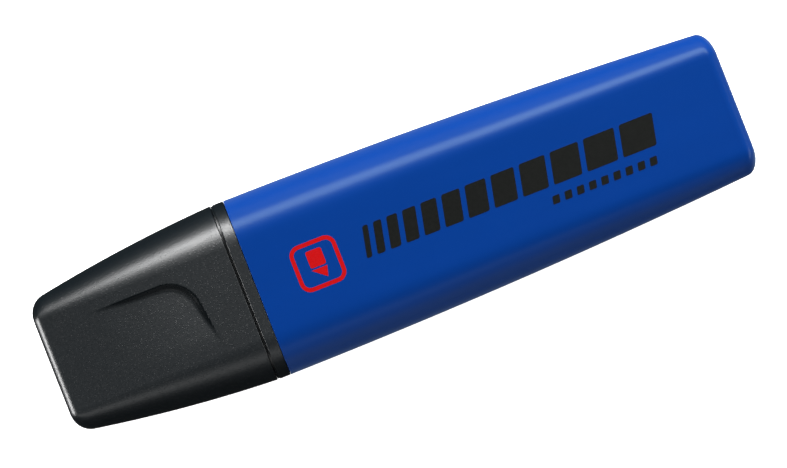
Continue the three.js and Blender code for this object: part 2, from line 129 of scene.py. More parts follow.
class HighlighterForm(bpy.types.PropertyGroup):
    """The outer form that barrel, collar and cap share"""

    face_width: length("Face width", "Flat strip of each broad face", 14.2)
    side_height: length("Side height", "Flat strip of each narrow side", 4.7)
    tail_width: length("Tail width", "Width that the barrel tapers to", 21.3)
    tail_thickness: length("Tail thickness", "Thickness that the barrel tapers to", 11.4)
    belly_length: length("Belly length", "Parallel stretch of the broad faces", 34)
    barrel_arch: number("Barrel arch", "1 tapers the broad faces straight, 2 on a parabola", 1.5)
    cap_arch: number("Cap arch", "1 tapers the broad faces straight, 2 on a parabola", 2.0)
    cap_end_width: length("Cap end width", "Width that the cap tapers to", 19.7)
    cap_end_thickness: length("Cap end thickness", "Thickness that the cap tapers to", 12.4)
    cap_shoulder: length("Cap shoulder", "Parallel stretch of the cap's broad faces", 4)
    cap_side_slope: share("Cap side slope", "Straight share of the cap's side taper", 0.42)
    cap_gap: length("Cap gap", "Open line between cap and collar", 0.4)
    seam: length("Seam", "Line between collar and barrel", 0.1)
    wall: length("Wall", "Wall of barrel and cap", 1.5)
    fit: length("Fit", "Clearance between seated pieces", 0.3)
    edge: length("Edge", "Rounding of the cap's and collar's edges", 0.07)
    tail_along: length("Tail corner, along", "Reach of the tail's corners", 2.1)
    tail_across: length("Tail corner, across", "The tail's corners in its width", 3.2)
    tail_edge: length("Tail edge", "Radius of the tail face's edges", 1.5)
    cap_along: length("Cap corner, along", "Reach of the cap end's corners", 2.4)
    cap_across: length("Cap corner, across", "The cap end's corners in its width", 2.4)
    cap_edge: length("Cap edge", "Radius of the cap end face's edges", 1.15)


class ThumbRecess(bpy.types.PropertyGroup):
    """The shallow thumb recess in each broad face of the cap"""

    depth: length("Depth", "Depth at the rounded corner", 0.5)
    edge: length("Edge", "From the centre line to the long edge", 5.3)
    corner: length("Corner", "Radius of the corner in plan", 4.1)
    setback: length("Setback", "From the cap's mouth to the far tip of the short edge", 5.5)
    tip: length("Tip", "From the centre line to that tip", 4.7)
    lean: length("Lean", "How far the short edge leans along the cap", 0.8)
    wall: length("Wall", "Run of the wall from its brow to the floor", 1.2)
    brow: length("Brow", "Rounding of the wall's top edge", 0.1)
    fade_along: length("Fade along", "Stretch over which the recess runs out along the cap", 12.5)
    fade_across: length("Fade across", "Stretch over which it runs out across the cap", 8.6)


class HolderSizes(bpy.types.PropertyGroup):
    """The black front moulding that carries the nib"""

    neck: length("Neck", "Length of the neck that the cap fits over", 4.3)
    shoulder: length("Shoulder", "Length of the slope from neck to snout", 2)
    bulkhead: length("Bulkhead", "Wall between the neck's front and the ink chamber", 1.8)
    plug_wall: length("Plug wall", "Wall of the plug inside the barrel", 1.3)
    snout_wall: length("Snout wall", "Wall round the nib at the snout's front", 1.3)
    chamfer: length("Chamfer", "Rounding of the snout's front", 0.6)
    nib_fit: length("Nib fit", "Clearance round the nib", 0.15)
    vent_width: length("Vent width", "Width of the air groove beside the nib", 1.4)
    vent_depth: length("Vent depth", "Depth of the air groove beside the nib", 0.5)
    bead: length("Bead", "Height of the snap bead on the plug", 0.25)
    bead_length: length("Bead length", "Length of the snap bead", 1.2)
    bead_setback: length("Bead setback", "From the collar's back to the snap bead", 5.5)
    ring: length("Ring", "Height of the click ring on the neck", 0.12)
    ring_length: length("Ring length", "Length of the click ring", 1)
    ring_setback: length("Ring setback", "From the collar's front to the click ring", 2.4)
    stop_inset: length("Stop inset", "The stop ring's distance under the broad faces", 1.1)
    stop_side: length("Stop side", "The stop ring's distance inside the narrow sides", 0.12)
    stop_gap: length("Stop gap", "Between the cap's mouth and the stop ring", 0.1)
    sleeve_wall: length("Sleeve wall", "Wall of the cap's sealing sleeve", 0.9)
    sleeve_fit: length("Sleeve fit", "Clearance between sleeve and snout", 0.2)


class NibSizes(bpy.types.PropertyGroup):
    """The chisel nib"""

    slant: length("Slant", "How far the short side of the chisel edge lies back", 3)
    reach: length("Reach", "Bare length in front of the snout", 5.5)
    tip: length("Tip", "Thickness of the chisel edge", 2)
    edge: length("Edge", "Rounding of the nib's edges", 0.3)


class PrintSizes(bpy.types.PropertyGroup):
    """The generic marks printed on the barrel"""

    badge: length("Badge", "Side of the badge", 7)
    badge_place: length("Badge place", "From the barrel's mouth to the badge's middle", 9.4)
    stroke: length("Stroke", "Line width of the badge", 0.6)
    bars_place: length("Bars place", "From the barrel's mouth to the first bar", 16.2)
    bars_length: length("Bars length", "Length of the row of bars", 44.5)
    bars_height: length("Bars height", "Height of the bars", 4.6)
    bars: IntProperty(name="Bars", description="Number of bars", default=12, min=2)
    bar_gap: length("Bar gap", "Gap between two bars", 0.8)
    ink: length("Ink", "Thickness of the printed ink", 0.02)


class Finishes(bpy.types.PropertyGroup):
    """Colours of plastics, ink and felt"""

    barrel: colour("Barrel", "Blue barrel plastic", 0.0, 0.0178, 0.117)
    cap: colour("Cap", "Black cap and holder plastic", 0.0012, 0.0026, 0.0036)
    sleeve: colour("Sleeve", "Grey plastic of the sealing sleeve", 0.05, 0.053, 0.057)
    felt: colour("Felt", "Ink-soaked nib", 0.02, 0.1, 0.55)
    core: colour("Core", "Ink-soaked reservoir fibre", 0.03, 0.13, 0.6)
    film: colour("Film", "Wrapping film", 0.75, 0.79, 0.83)
    black_ink: colour("Black ink", "Printed bars", 0.003, 0.0034, 0.003)
    red_ink: colour("Red ink", "Printed badge", 0.25, 0.0006, 0.0012)


class Studio(bpy.types.PropertyGroup):
    """Camera, floor and lights"""

    distance: length("Camera distance", "From the marker's middle to the camera", 2000)
    field: length("Field", "Width that the camera sees at the marker's middle", 112.9)
    turn: FloatProperty(
        name="Turn",
        description="How far the marker is turned in the picture",
        default=math.radians(21.47),
        subtype="ANGLE",
    )


# ---- Sections of the marker ------------------------------------------------------------------

# A place along the marker, the half sizes there, and the reach of the rounded corners in each.
Section = namedtuple("Section", "x width thickness corner_width corner_thickness")
LEAST_CORNER = 0.3 * MM
END_FACE_INSETS = (3.0, 1.2, 0.35)  # rings on an end's face, in millimetres inside its rim
SHARP_ANGLE = math.radians(50)  # an edge that folds by more is shaded sharp
# Painted shade: this layer tells the cap's finish how much darker and duller to paint the recess's
# wall.
RECESS_WALL_SHADE = "recess_wall_shade"  # the vertex layer that says how far up the recess's wall a place is


def grown(section, margin, x=None):
    """The section with every side moved outwards, at its own or another place."""
    return Section(
        section.x if x is None else x,
        section.width + margin,
        section.thickness + margin,
        max(section.corner_width + margin, LEAST_CORNER),
        max(section.corner_thickness + margin, LEAST_CORNER),
    )


def oval(x, width, thickness):
    """A section with nearly fully rounded corners, as snout and sleeve have."""
    return Section(x, width, thickness, width * 0.8, thickness * 0.9)


def rounding_inset(distance, along, across):
    """How far an elliptical end rounding has drawn the side in, at a distance from the end."""
    reach = max(0.0, along - distance) / along
    return across * (1 - math.sqrt(max(0.0, 1 - reach * reach)))


def outer_section(form, x):
    """The marker's outer form at x, the ends' roundings included."""
    collar_front = CAP_MOUTH + form.cap_gap
    if x < CAP_MOUTH + form.cap_gap / 2:
        whole, distance = CAP_LENGTH, max(0.0, CAP_MOUTH - x)
        parallel, slope, arch = form.cap_shoulder, form.cap_side_slope, form.cap_arch
        end_width, end_thickness = form.cap_end_width, form.cap_end_thickness
        along, across, edge = form.cap_along, form.cap_across, form.cap_edge
    else:
        whole, distance = TAIL_END - collar_front, max(0.0, x - collar_front)
        parallel = BARREL_MOUTH - form.seam - collar_front + form.belly_length
        slope, arch = 0.0, form.barrel_arch
        end_width, end_thickness = form.tail_width, form.tail_thickness
        along, across, edge = form.tail_along, form.tail_across, form.tail_edge
    run = distance / whole
    width = (WIDTH + (end_width - WIDTH) * (slope * run + (1 - slope) * run * run)) / 2
    beyond = max(0.0, distance - parallel) / (whole - parallel)
    thickness = (THICKNESS + (end_thickness - THICKNESS) * beyond**arch) / 2
    inset = rounding_inset(whole - distance, along, across)
    drop = rounding_inset(whole - distance, edge, edge)
    return Section(
        x,
        width - inset,
        thickness - drop,
        max(width - form.face_width / 2 - inset, MM),
        max(thickness - form.side_height / 2 - drop, MM),
    )


def hollow_section(form, x):
    """The hollow inside the outer form at x, without the ends' roundings."""
    clear = max(form.tail_along, form.cap_along)
    sampled = min(max(x, CAP_END + clear), TAIL_END - clear)
    return grown(outer_section(form, sampled), -form.wall, x)


# ---- Mesh building ---------------------------------------------------------------------------


def steps(start, stop, pitch):
    """Evenly spaced places from start to stop, both included."""
    count = max(1, round(abs(stop - start) / pitch))
    return [start + (stop - start) * step / count for step in range(count + 1)]


def swept(section_at, start, stop, pitch):
    """Sections at evenly spaced places from start to stop, both included."""
    return [section_at(x) for x in steps(start, stop, pitch)]


def ring_spots(corner_steps, face_steps, side_steps):
    """Spots once round a section. Each names a quarter and how far along it lies, on the
    quarter's corner or on the flat that follows it."""
    spots = []
    for quarter in range(4):
        for step in range(corner_steps + 1):
            spots.append(("corner", quarter, step / corner_steps))
        flats = side_steps if quarter % 2 == 0 else face_steps
        for step in range(1, flats):
            spots.append(("flat", quarter, step / flats))
    return spots


def corner_point(section, quarter, portion):
    """Y and Z of a place on one of a section's elliptical corners, from the section's middle."""
    angle = (quarter + portion) * math.pi / 2
    side_y = 1 if quarter < 2 else -1
    side_z = 1 if quarter in (0, 3) else -1
    return (
        side_y * (section.width - section.corner_width) + section.corner_width * math.sin(angle),
        side_z * (section.thickness - section.corner_thickness)
        + section.corner_thickness * math.cos(angle),
    )


def ring_point(section, spot):
    """The place of a ring spot on a section."""
    kind, quarter, portion = spot
    if kind == "corner":
        y, z = corner_point(section, quarter, portion)
    else:
        start_y, start_z = corner_point(section, quarter, 1.0)
        end_y, end_z = corner_point(section, (quarter + 1) % 4, 0.0)
        y = start_y + (end_y - start_y) * portion
        z = start_z + (end_z - start_z) * portion
    return Vector((section.x, y, AXIS_HEIGHT + z))


def skin(rows, spots, closed=False):
    """A closed bmesh whose skin runs through a row of sections: a grid is rolled up round them.
    An open row ends in a face at each end, a closed one returns to its start."""
    mesh = bmesh.new()
    last_row, last_spot = len(rows) - 1, len(spots)
    bmesh.ops.create_grid(mesh, x_segments=last_row, y_segments=last_spot, size=0.5)
    for vertex in mesh.verts:
        row = round((vertex.co.x + 0.5) * last_row)
        spot = round((vertex.co.y + 0.5) * last_spot) % last_spot
        vertex.co = ring_point(rows[row], spots[spot])
    bmesh.ops.remove_doubles(mesh, verts=mesh.verts, dist=1e-7)
    if not closed:
        rims = [edge for edge in mesh.edges if edge.is_boundary]
        bmesh.ops.holes_fill(mesh, edges=rims, sides=0)
    bmesh.ops.recalc_face_normals(mesh, faces=mesh.faces)
    return mesh


def rounded_edge(section_at, x_end, inward, radius, outwards=1, count=4):
    """Rows that turn a wall into the plane at x_end. The wall lies on the side inward of it, and
    outwards is 1 for an outer wall and -1 for the wall of a hollow."""
    rows = []
    for step in range(count + 1):
        angle = step / count * math.pi / 2
        x = x_end + inward * radius * (1 - math.sin(angle))
        rows.append(grown(section_at(x), -outwards * radius * (1 - math.cos(angle)), x))
    return rows


def end_rows(form, x_end, inward, along, count=26):
    """Rows from the middle of a rounded end's face to the start of the taper, closest together
    where the face turns into the sides."""
    rim = outer_section(form, x_end)
    rows = [grown(rim, -inset * MM) for inset in END_FACE_INSETS]
    for step in range(count + 1):
        rows.append(outer_section(form, x_end + inward * along * (step / count) ** 2))
    return rows


def keep(mesh, name, body, replaced, material):
    """Turns a bmesh into a finished piece that rides on a body."""
    for face in mesh.faces:
        face.smooth = True
    for edge in mesh.edges:
        edge.smooth = edge.calc_face_angle(0.0) < SHARP_ANGLE
    data = bpy.data.meshes.new(name)
    mesh.to_mesh(data)
    mesh.free()
    piece = bpy.data.objects.new(name, data)
    bpy.context.scene.collection.objects.link(piece)
    data.materials.append(material)
    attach(piece, body)
    if replaced:
        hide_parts(replaced)
    return piece


# ---- Materials -------------------------------------------------------------------------------


def set_sockets(node, values):
    """Puts constants on a node's sockets, with underscores for the spaces in their names."""
    for name, value in values.items():
        node.inputs[name.replace("_", " ")].default_value = value


class Finish:
    """A node material on Object coordinates, built up link by link."""

    def __init__(self, name):
        self.material = bpy.data.materials.new(name)
        self.material.use_nodes = True
        self.tree = self.material.node_tree
        self.shader = self.tree.nodes["Principled BSDF"]
        self.coordinates = self.tree.nodes.new("ShaderNodeTexCoord").outputs["Object"]

    def set(self, **values):
        set_sockets(self.shader, values)

    def node(self, kind, **values):
        """A new node with constants on its sockets."""
        node = self.tree.nodes.new(kind)
        set_sockets(node, values)
        return node

    def link(self, output, socket):
        self.tree.links.new(output, socket)

    def drive(self, name, output):
        """Feeds one of the shader's sockets."""
        self.link(output, self.shader.inputs[name])

    def surface_value(self, name):
        """A value that the mesh carries, or nothing on a mesh without it."""
        node = self.node("ShaderNodeAttribute")
        node.attribute_name = name
        return node.outputs["Fac"]

    def stretched(self, x, y, z):
        """Coordinates scaled differently along each axis."""
        node = self.node("ShaderNodeMapping", Scale=(x, y, z))
        self.link(self.coordinates, node.inputs["Vector"])
        return node.outputs["Vector"]

    def noise(self, scale, detail, roughness, vector=None):
        """Soft patches. The scale is how many of them fit in a metre."""
        node = self.node("ShaderNodeTexNoise", Scale=scale, Detail=detail, Roughness=roughness)
        self.link(vector or self.coordinates, node.inputs["Vector"])
        return node.outputs["Fac"]

    def cells(self, scale):
        """Distance from the middle of irregular cells. The scale is how many fit in a metre."""
        node = self.node("ShaderNodeTexVoronoi", Scale=scale)
        self.link(self.coordinates, node.inputs["Vector"])
        return node.outputs["Distance"]

    def ranged(self, value, low, high, to_low, to_high):
        """A value moved from one range to another, and held inside it."""
        node = self.node(
            "ShaderNodeMapRange", From_Min=low, From_Max=high, To_Min=to_low, To_Max=to_high
        )
        self.link(value, node.inputs["Value"])
        return node.outputs["Result"]

    def between(self, factor, one, other):
        """A colour between two, or a socket's value where one is given."""
        node = self.node("ShaderNodeMix")
        node.data_type = "RGBA"
        self.link(factor, node.inputs["Factor"])
        for socket, value in ((node.inputs["A"], one), (node.inputs["B"], other)):
            if isinstance(value, bpy.types.NodeSocket):
                self.link(value, socket)
            else:
                socket.default_value = (*value, 1.0)
        return node.outputs["Result"]

    def summed(self, one, other, weight):
        """One value plus a weighted other."""
        node = self.node("ShaderNodeMath")
        node.operation = "MULTIPLY_ADD"
        node.inputs[1].default_value = weight
        self.link(other, node.inputs[0])
        self.link(one, node.inputs[2])
        return node.outputs["Value"]

    def mottle(self, pattern, tone, darker, lighter):
        """Varies the base colour with a pattern, between two shares of a tone."""
        self.drive("Base Color", self.between(pattern, scaled(tone, darker), scaled(tone, lighter)))

    def bump(self, height, depth):
        """Relief whose full height is a depth in metres."""
        node = self.node("ShaderNodeBump", Strength=1.0, Distance=depth)
        self.link(height, node.inputs["Height"])
        self.drive("Normal", node.outputs["Normal"])


def scaled(tone, factor):
    """A colour made darker or lighter."""
    return tuple(min(1.0, channel * factor) for channel in tone)


def barrel_finish(finishes):
    """Semi-gloss moulded plastic with a faint ripple and flow marks along the barrel."""
    finish = Finish("barrel_blue_plastic")
    tone = tuple(finishes.barrel)
    flow = finish.noise(60, 4, 0.55, finish.stretched(1, 3, 3))
    finish.mottle(flow, tone, 0.94, 1.06)
    finish.drive("Roughness", finish.ranged(finish.noise(900, 4, 0.6), 0.0, 1.0, 0.26, 0.33))
    finish.set(IOR=1.49, Specular_IOR_Level=0.12, Specular_Tint=(0.7, 1.0, 1.0, 1.0))
    finish.set(Sheen_Weight=0.2, Sheen_Roughness=0.4, Sheen_Tint=(0.6, 0.85, 1.0, 1.0))
    ripple = finish.noise(1400, 2, 0.5)
    finish.bump(finish.summed(ripple, finish.noise(220, 2, 0.5), 1.5), 0.0000035)
    return finish.material


def grained_finish(name, tone, roughness=0.37, grain=0.000017):
    """Plastic from a finely spark-eroded mould: fine pits and stray crests that glint, with painted
    shade on the wall of the thumb recess, which is made darker and less reflective. The grain is
    its height in metres."""
    finish = Finish(name)
    # Painted shade: the recess wall's mask, which darkens the base colour and weakens the
    # reflection.
    wall = finish.ranged(finish.surface_value(RECESS_WALL_SHADE), 0.0, 0.5, 0.0, 1.0)
    patchy = finish.between(finish.noise(240, 3, 0.5), scaled(tone, 0.85), scaled(tone, 1.18))
    finish.drive("Base Color", finish.between(wall, patchy, scaled(tone, 0.5)))
    low, high = roughness - 0.02, roughness + 0.02
    finish.drive("Roughness", finish.ranged(finish.noise(2600, 2, 0.6), 0.3, 0.7, low, high))
    # Painted shade: the recess wall reflects less.
    finish.drive("Specular IOR Level", finish.ranged(wall, 0.0, 1.0, 0.75, 0.12))
    finish.set(IOR=1.5)
    crests = finish.ranged(finish.cells(3300), 0.0, 0.3, 1.0, 0.0)
    finish.bump(finish.summed(crests, finish.noise(7500, 2, 0.6), 0.3), grain)
    return finish.material


def felt_finish(name, tone):
    """Pressed fibre: strands along the piece, darker where the strands dip."""
    finish = Finish(name)
    strands = finish.noise(900, 5, 0.65, finish.stretched(0.12, 1, 1))
    finish.mottle(strands, tone, 0.6, 1.35)
    finish.set(Roughness=0.9, Sheen_Weight=0.25, Sheen_Roughness=0.5)
    finish.bump(finish.summed(strands, finish.cells(3500), 0.5), 0.00005)
    return finish.material


def film_finish(finishes):
    """Thin wrapping film with creases."""
    finish = Finish("wrapping_film")
    creases = finish.noise(350, 4, 0.6, finish.stretched(0.3, 1, 1))
    finish.mottle(creases, tuple(finishes.film), 0.9, 1.05)
    finish.set(Roughness=0.2)
    finish.bump(creases, 0.00003)
    return finish.material


def ink_finish(name, tone):
    """Pad-printed ink: almost flat, slightly duller than the plastic."""
    finish = Finish(name)
    patches = finish.noise(1500, 3, 0.6)
    finish.mottle(patches, tone, 0.92, 1.08)
    finish.drive("Roughness", finish.ranged(finish.noise(2400, 2, 0.5), 0.3, 0.7, 0.42, 0.52))
    finish.set(Specular_IOR_Level=0.1)
    finish.bump(patches, 0.000002)
    return finish.material


# ---- Pieces ----------------------------------------------------------------------------------


def walls(form):
    """The outer form and the hollow inside it, each as a section at a place."""
    return (lambda x: outer_section(form, x)), (lambda x: hollow_section(form, x))


def barrel_mesh(form, holder):
    """The barrel: the rounded tail, the tapering outside, the mouth's rim and the hollow."""
    outside, hollow = walls(form)
    rim = form.edge / 2
    groove = BARREL_MOUTH - form.seam + holder.bead_setback
    half = holder.bead_length / 2
    rows = end_rows(form, TAIL_END, -1, form.tail_along)
    rows += swept(outside, TAIL_END - form.tail_along, BARREL_MOUTH + 3 * rim, 0.7 * MM)[1:]
    rows += rounded_edge(outside, BARREL_MOUTH, 1, rim)
    rows += reversed(rounded_edge(hollow, BARREL_MOUTH, 1, rim, outwards=-1))
    rows += swept(hollow, BARREL_MOUTH + 3 * rim, groove - half, MM)
    rows += [grown(hollow(groove + half * side), holder.bead) for side in (-0.4, 0.4)]
    rows += swept(hollow, groove + half, TAIL_END - 3 * form.wall, 2.5 * MM)
    rows += rounded_edge(hollow, TAIL_END - form.wall, -1, form.wall, count=5)
    return skin(rows, ring_spots(corner_steps=14, face_steps=16, side_steps=4))


def thumb_recess(recess, x, y):
    """How deep the thumb recess lies under the cap's broad face at a place in plan, and how much
    painted shade its wall gets there, by how far up the wall that place is, from 0 on the floor to
    1 at the brow. The recess is deepest behind its rounded corner and runs out towards the cap's
    end and towards the far side."""
    short_x = CAP_MOUTH - recess.setback - recess.lean
    turn_y = recess.edge - recess.corner
    lean = recess.lean / (turn_y + recess.tip)
    from_short = short_x - x - lean * (y - turn_y)
    from_long = recess.edge - y
    radius = recess.corner
    if from_short < radius and from_long < radius:
        inside = radius - math.hypot(radius - from_short, radius - from_long)
    else:
        inside = min(from_short, from_long)
    inside = soft_rise(inside, recess.brow)
    if inside <= 0:
        return 0.0, 0.0
    along = eased(1 - (short_x - radius / 2 - x) / recess.fade_along)
    across = eased(1 - (recess.edge - radius / 3 - y) / recess.fade_across)
    fade = along * across
    least_run, bulge, shade_gain = 0.1, 1.5, 2.2
    run = recess.wall * max(math.sqrt(fade), least_run)
    up_wall = max(0.0, 1 - inside / run)
    # The second value is painted shade on the wall: strongest at the brow, weaker where the recess
    # runs out.
    return recess.depth * (1 - up_wall**bulge) * fade, up_wall * min(1.0, shade_gain * fade)


def soft_rise(value, blend):
    """The value where it is positive and nothing where it is negative, with a rounded bend."""
    if value <= -blend:
        return 0.0
    if value >= blend:
        return value
    return (value + blend) ** 2 / (4 * blend)


def eased(portion, bend=0.15):
    """A portion held between nothing and all, with rounded bends."""
    return soft_rise(portion, bend) - soft_rise(portion - 1, bend)


def cap_mesh(form, recess, holder):
    """The cap: the rounded end, the tapering outside, the mouth's rim and the hollow, then the
    thumb recess pressed into both broad walls."""
    outside, hollow = walls(form)
    groove = CAP_MOUTH + form.cap_gap - holder.ring_setback
    half = holder.ring_length / 2
    fine = 0.16 * MM
    rows = end_rows(form, CAP_END, 1, form.cap_along)
    rows += swept(outside, CAP_END + form.cap_along, CAP_MOUTH - 3 * form.edge, fine)[1:]
    rows += rounded_edge(outside, CAP_MOUTH, -1, form.edge)
    rows += reversed(rounded_edge(hollow, CAP_MOUTH, -1, form.edge, outwards=-1))
    rows.append(hollow(groove + half))
    rows += [grown(hollow(groove + half * side), holder.ring) for side in (0.4, -0.4)]
    rows.append(hollow(groove - half))
    rows += swept(hollow, groove - half, CAP_END + 2 * form.wall, 0.5 * MM)[1:]
    rows += rounded_edge(hollow, CAP_END + form.wall, 1, form.wall, count=5)
    mesh = skin(rows, ring_spots(corner_steps=12, face_steps=96, side_steps=6))
    # Painted shade: each vertex keeps how strongly the recess's wall is painted darker.
    recess_wall_shade = mesh.verts.layers.float.new(RECESS_WALL_SHADE)
    for vertex in mesh.verts:
        side = 1 if vertex.co.z > AXIS_HEIGHT else -1
        depth, up_wall = thumb_recess(recess, vertex.co.x, side * vertex.co.y)
        vertex.co.z -= side * depth
        vertex[recess_wall_shade] = up_wall
    return mesh


def holder_mesh(form, holder):
    """The holder: from the nib slot over the snout, shoulder, neck, collar and plug, and back
    through the ink chamber to the slot."""
    collar_front = CAP_MOUTH + form.cap_gap
    collar_back = BARREL_MOUTH - form.seam
    snout_front, plug_back = HOLDER_LOW.x, HOLDER_HIGH.x
    neck_front = collar_front - holder.neck
    shoulder_front = neck_front - holder.shoulder
    chamber_front = neck_front + holder.bulkhead
    slot_width = (NIB_HIGH.y - NIB_LOW.y) / 2 + holder.nib_fit
    slot_thickness = (NIB_HIGH.z - NIB_LOW.z) / 2 + holder.nib_fit
    sealing = holder.sleeve_wall + holder.sleeve_fit
    snout_width = (SLEEVE_HIGH.y - SLEEVE_LOW.y) / 2 - sealing
    snout_thickness = (SLEEVE_HIGH.z - SLEEVE_LOW.z) / 2 - sealing
    front_width = slot_width + holder.snout_wall
    front_thickness = slot_thickness + holder.snout_wall

    def slot_at(x):
        return Section(x, slot_width, slot_thickness, LEAST_CORNER, LEAST_CORNER)

    def snout_at(x):
        run = (x - snout_front) / (SLEEVE_HIGH.x - snout_front)
        run = min(1.0, max(0.0, run))
        return oval(
            x,
            front_width + (snout_width - front_width) * run,
            front_thickness + (snout_thickness - front_thickness) * run,
        )

    def neck_at(x):
        return grown(hollow_section(form, min(x, CAP_MOUTH)), -form.fit, x)

    def collar_at(x):
        return outer_section(form, x)

    def plug_at(x):
        return grown(hollow_section(form, max(x, BARREL_MOUTH)), -form.fit, x)

    narrow = grown(plug_at(plug_back), -holder.plug_wall)
    narrow = narrow._replace(
        width=min(narrow.width, neck_at(neck_front).width - holder.plug_wall),
        thickness=min(narrow.thickness, neck_at(neck_front).thickness - holder.plug_wall),
    )

    def chamber_at(x):
        return narrow._replace(x=x)

    def beaded(section_at, centre, half_length, height):
        shape = ((-1, 0), (-0.5, 0.8), (0, 1), (0.5, 0.8), (1, 0))
        return [
            grown(section_at(centre + half_length * place), height * rise) for place, rise in shape
        ]

    edge = form.edge
    stop_front = CAP_MOUTH + holder.stop_gap
    collar = outer_section(form, collar_front)
    stop = grown(collar, -holder.stop_inset)._replace(width=collar.width - holder.stop_side)
    ring_at = collar_front - holder.ring_setback
    bead_at = collar_back + holder.bead_setback
    half_ring, half_bead = holder.ring_length / 2, holder.bead_length / 2
    rows = swept(slot_at, chamber_front - edge, snout_front + 2 * edge, MM)
    rows += rounded_edge(slot_at, snout_front, 1, edge, outwards=-1, count=3)
    rows += reversed(rounded_edge(snout_at, snout_front, 1, holder.chamfer, count=6))
    past_chamfer = snout_front + 1.4 * holder.chamfer
    rows += swept(snout_at, past_chamfer, shoulder_front - 0.4 * MM, MM)
    rows += shoulder_rows(snout_at(shoulder_front), neck_at(neck_front))
    rows += swept(neck_at, neck_front + 0.5 * MM, ring_at - half_ring, 0.5 * MM)[:-1]
    rows += beaded(neck_at, ring_at, half_ring, holder.ring)
    rows += swept(neck_at, ring_at + half_ring, stop_front, 0.5 * MM)[1:]
    rows += [grown(stop, 0.0, x) for x in (stop_front, stop_front + edge, collar_front)]
    rows += reversed(rounded_edge(collar_at, collar_front, 1, edge))
    rows += swept(collar_at, collar_front + 2 * edge, collar_back - edge, 0.4 * MM)
    rows += rounded_edge(collar_at, collar_back, -1, edge / 2)
    rows += swept(plug_at, collar_back, bead_at - half_bead, MM)[:-1]
    rows += beaded(plug_at, bead_at, half_bead, holder.bead)
    rows += swept(plug_at, bead_at + half_bead, plug_back - 2 * edge, MM)[1:]
    rows += rounded_edge(plug_at, plug_back, -1, edge)
    rows += reversed(rounded_edge(chamber_at, plug_back, -1, edge, outwards=-1))
    rows += swept(chamber_at, plug_back - 2 * edge, chamber_front + 3 * edge, 2 * MM)
    rows += rounded_edge(chamber_at, chamber_front, 1, 2 * edge)
    rows += [grown(slot_at(chamber_front), edge)]
    rows.append(rows[0])
    spots = ring_spots(corner_steps=12, face_steps=22, side_steps=6)
    mesh = skin(rows, spots, closed=True)
    for vertex in mesh.verts:
        carve_vent(vertex, holder, slot_thickness, chamber_front)
    return mesh


def shoulder_rows(snout, neck):
    """A soft slope between snout and neck, rounded at its foot and at its brow."""
    rows = []
    last = 8
    for step in range(last + 1):
        run = step / last
        rise = run * run * (3 - 2 * run)
        size = [a + (b - a) * rise for a, b in zip(snout, neck)]
        size[0] = snout.x + (neck.x - snout.x) * run
        rows.append(Section(*size))
    return rows


def carve_vent(vertex, holder, slot_thickness, chamber_front):
    """Moves a vertex of the nib slot's broad walls outwards where the air groove runs."""
    level = vertex.co.z - AXIS_HEIGHT
    margin = 0.2 * MM
    in_slot = abs(level) < slot_thickness + margin and vertex.co.x < chamber_front
    if in_slot and abs(vertex.co.y) < holder.vent_width / 2:
        vertex.co.z += math.copysign(holder.vent_depth, level)


def sleeve_mesh(form, holder):
    """The sealing sleeve: a tapering cup with a rolled lip."""
    mouth = oval(
        SLEEVE_HIGH.x, (SLEEVE_HIGH.y - SLEEVE_LOW.y) / 2, (SLEEVE_HIGH.z - SLEEVE_LOW.z) / 2
    )
    base = hollow_section(form, SLEEVE_LOW.x)
    taper = 0.7 * MM
    base = oval(
        SLEEVE_LOW.x,
        min(base.width - form.fit, mouth.width - taper),
        min(base.thickness - form.fit, mouth.thickness - taper),
    )

    def outside(x):
        run = (x - base.x) / (mouth.x - base.x)
        return oval(
            x,
            base.width + (mouth.width - base.width) * run,
            base.thickness + (mouth.thickness - base.thickness) * run,
        )

    def inside(x):
        return grown(outside(x), -holder.sleeve_wall)

    lip, rim = 0.3 * MM, 0.4 * MM
    rows = [grown(base, -inset * MM) for inset in (2.5, 1.0)]
    rows += reversed(rounded_edge(outside, base.x, 1, rim))
    rows += swept(outside, base.x + 2 * rim, mouth.x - 2 * lip, MM)
    rows += rounded_edge(outside, mouth.x, -1, lip)
    rows += reversed(rounded_edge(inside, mouth.x, -1, lip, outwards=-1))
    floor = base.x + holder.sleeve_wall
    rows += swept(inside, mouth.x - 2 * lip, floor + MM, MM)
    rows += rounded_edge(inside, floor, 1, 0.6 * MM)
    rows += [grown(inside(floor), -inset * MM) for inset in (1.4, 2.6)]
    return skin(rows, ring_spots(corner_steps=14, face_steps=6, side_steps=3))


def cut_across(mesh, x):
    """Splits the faces that a plane across the marker meets."""
    everything = mesh.verts[:] + mesh.edges[:] + mesh.faces[:]
    bmesh.ops.bisect_plane(mesh, geom=everything, plane_co=(x, 0, 0), plane_no=(1, 0, 0))


def nib_mesh(nib):
    """The nib: a bar of pressed fibre whose front is cut to a slanting chisel edge."""
    mesh = bmesh.new()
    bmesh.ops.create_cube(mesh, size=1.0)
    size = NIB_HIGH - NIB_LOW
    middle = (NIB_HIGH + NIB_LOW) / 2
    bmesh.ops.scale(mesh, vec=size, verts=mesh.verts)
    bmesh.ops.translate(mesh, vec=middle, verts=mesh.verts)
    cut_across(mesh, NIB_LOW.x + nib.reach - MM)
    front = NIB_LOW.x + 0.1 * MM
    for vertex in mesh.verts:
        if vertex.co.x < front:
            level = vertex.co.z - middle.z
            vertex.co.z = middle.z + math.copysign(nib.tip / 2, level)
            if vertex.co.y < middle.y:
                vertex.co.x += nib.slant
    bmesh.ops.bevel(
        mesh,
        geom=mesh.edges[:],
        offset=nib.edge,
        segments=3,
        profile=0.5,
        material=-1,
        affect="EDGES",
    )
    bmesh.ops.recalc_face_normals(mesh, faces=mesh.faces)
    return mesh


# ---- Printing --------------------------------------------------------------------------------


BAR_LEAN = 0.22  # how far a bar leans along the marker over its height


